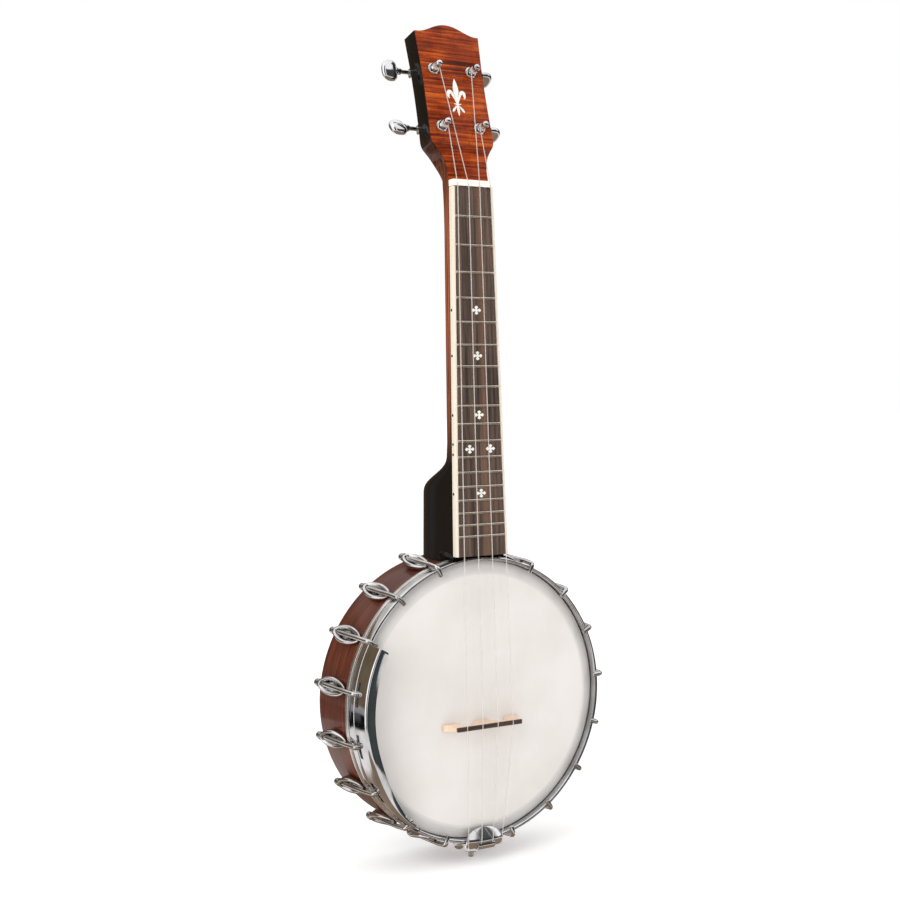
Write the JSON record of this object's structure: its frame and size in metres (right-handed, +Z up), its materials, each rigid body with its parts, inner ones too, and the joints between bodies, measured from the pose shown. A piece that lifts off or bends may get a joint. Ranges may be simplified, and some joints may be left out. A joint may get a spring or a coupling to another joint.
{
  "type": "banjo",
  "caption": "Concert-scale banjolele: chrome-bracketed wood pot with film head, armrest, three-foot bridge, bound fretted neck and geared tuners.",
  "frame": {"origin": "middle of the footprint, at the lowest point, with the instrument upright", "axes": "+Z up along the neck, the drum head faces -Y, +X to the right of someone facing the head"},
  "size_m": [0.2172, 0.0792, 0.5997],
  "materials": {
    "rim_wood": "gloss lacquer, dark mahogany stain",
    "neck_wood": "gloss lacquer, dark red-brown to black",
    "rosewood": "satin oiled",
    "maple": "bare, fine grain",
    "film": "translucent frosted polyester film",
    "bone": "polished cream",
    "nylon": "clear monofilament",
    "chrome": "polished",
    "brass": "rolled rod",
    "aluminium": "bright drawn",
    "veneer": "flamed veneer under gloss lacquer",
    "ebony": "satin, dark brown",
    "pearl": "polished pearloid",
    "ivoroid": "cream binding strip",
    "fret_wire": "nickel silver, polished crowns"
  },
  "bodies": {
    "root": {"rim": "rim_wood", "tone_ring": "brass", "drum_head": "film", "flesh_hoop": "aluminium", "tension_hoop": "chrome", "coordinator_rod": "chrome", "armrest": "chrome", "tailpiece": "chrome", "bridge": "maple", "neck": "neck_wood", "fingerboard": "rosewood", "string_nut": "bone", "bracket_shoe_01": "chrome", "bracket_hook_01": "chrome", "bracket_shoe_02": "chrome", "bracket_hook_02": "chrome", "bracket_shoe_03": "chrome", "bracket_hook_03": "chrome", "bracket_shoe_04": "chrome", "bracket_hook_04": "chrome", "bracket_shoe_05": "chrome", "bracket_hook_05": "chrome", "bracket_shoe_06": "chrome", "bracket_hook_06": "chrome", "bracket_shoe_07": "chrome", "bracket_hook_07": "chrome", "bracket_shoe_08": "chrome", "bracket_hook_08": "chrome", "bracket_shoe_09": "chrome", "bracket_hook_09": "chrome", "bracket_shoe_10": "chrome", "bracket_hook_10": "chrome", "bracket_shoe_11": "chrome", "bracket_hook_11": "chrome", "bracket_shoe_12": "chrome", "bracket_hook_12": "chrome", "bracket_shoe_13": "chrome", "bracket_hook_13": "chrome", "bracket_shoe_14": "chrome", "bracket_hook_14": "chrome", "bracket_shoe_15": "chrome", "bracket_hook_15": "chrome", "bracket_shoe_16": "chrome", "bracket_hook_16": "chrome", "tuner_plate_1": "chrome", "tuner_plate_2": "chrome", "tuner_plate_3": "chrome", "tuner_plate_4": "chrome", "string_1": "nylon", "string_2": "nylon", "string_3": "nylon", "string_4": "nylon"},
    "button_1": {"tuner_button_1": "chrome"},
    "post_1": {"string_post_1": "chrome"},
    "button_2": {"tuner_button_2": "chrome"},
    "post_2": {"string_post_2": "chrome"},
    "button_3": {"tuner_button_3": "chrome"},
    "post_3": {"string_post_3": "chrome"},
    "button_4": {"tuner_button_4": "chrome"},
    "post_4": {"string_post_4": "chrome"}
  },
  "joints": [
    {"name": "tuner_1_turn", "type": "hinge", "parent": "root", "child": "button_1", "pos_m": [-0.01596, 0.02137, 0.5238], "axis": [-1, 0, 0], "continuous": true},
    {"name": "post_1_turn", "type": "hinge", "parent": "root", "child": "post_1", "pos_m": [-0.01596, -0.00027, 0.52338], "axis": [0, -0.9661, 0.2583], "continuous": true},
    {"name": "tuner_2_turn", "type": "hinge", "parent": "root", "child": "button_2", "pos_m": [0.01504, 0.02137, 0.5238], "axis": [1, 0, 0], "continuous": true},
    {"name": "post_2_turn", "type": "hinge", "parent": "root", "child": "post_2", "pos_m": [0.01504, -0.00027, 0.52338], "axis": [0, -0.9661, 0.2583], "continuous": true},
    {"name": "tuner_3_turn", "type": "hinge", "parent": "root", "child": "button_3", "pos_m": [-0.01596, 0.03264, 0.56593], "axis": [-1, 0, 0], "continuous": true},
    {"name": "post_3_turn", "type": "hinge", "parent": "root", "child": "post_3", "pos_m": [-0.01596, 0.01099, 0.5655], "axis": [0, -0.9661, 0.2583], "continuous": true},
    {"name": "tuner_4_turn", "type": "hinge", "parent": "root", "child": "button_4", "pos_m": [0.01504, 0.03264, 0.56593], "axis": [1, 0, 0], "continuous": true},
    {"name": "post_4_turn", "type": "hinge", "parent": "root", "child": "post_4", "pos_m": [0.01504, 0.01099, 0.5655], "axis": [0, -0.9661, 0.2583], "continuous": true}
  ],
  "couplings": [
    {"joint": "post_1_turn", "follows": "tuner_1_turn", "ratio": -0.071429},
    {"joint": "post_2_turn", "follows": "tuner_2_turn", "ratio": 0.071429},
    {"joint": "post_3_turn", "follows": "tuner_3_turn", "ratio": -0.071429},
    {"joint": "post_4_turn", "follows": "tuner_4_turn", "ratio": 0.071429}
  ]
}
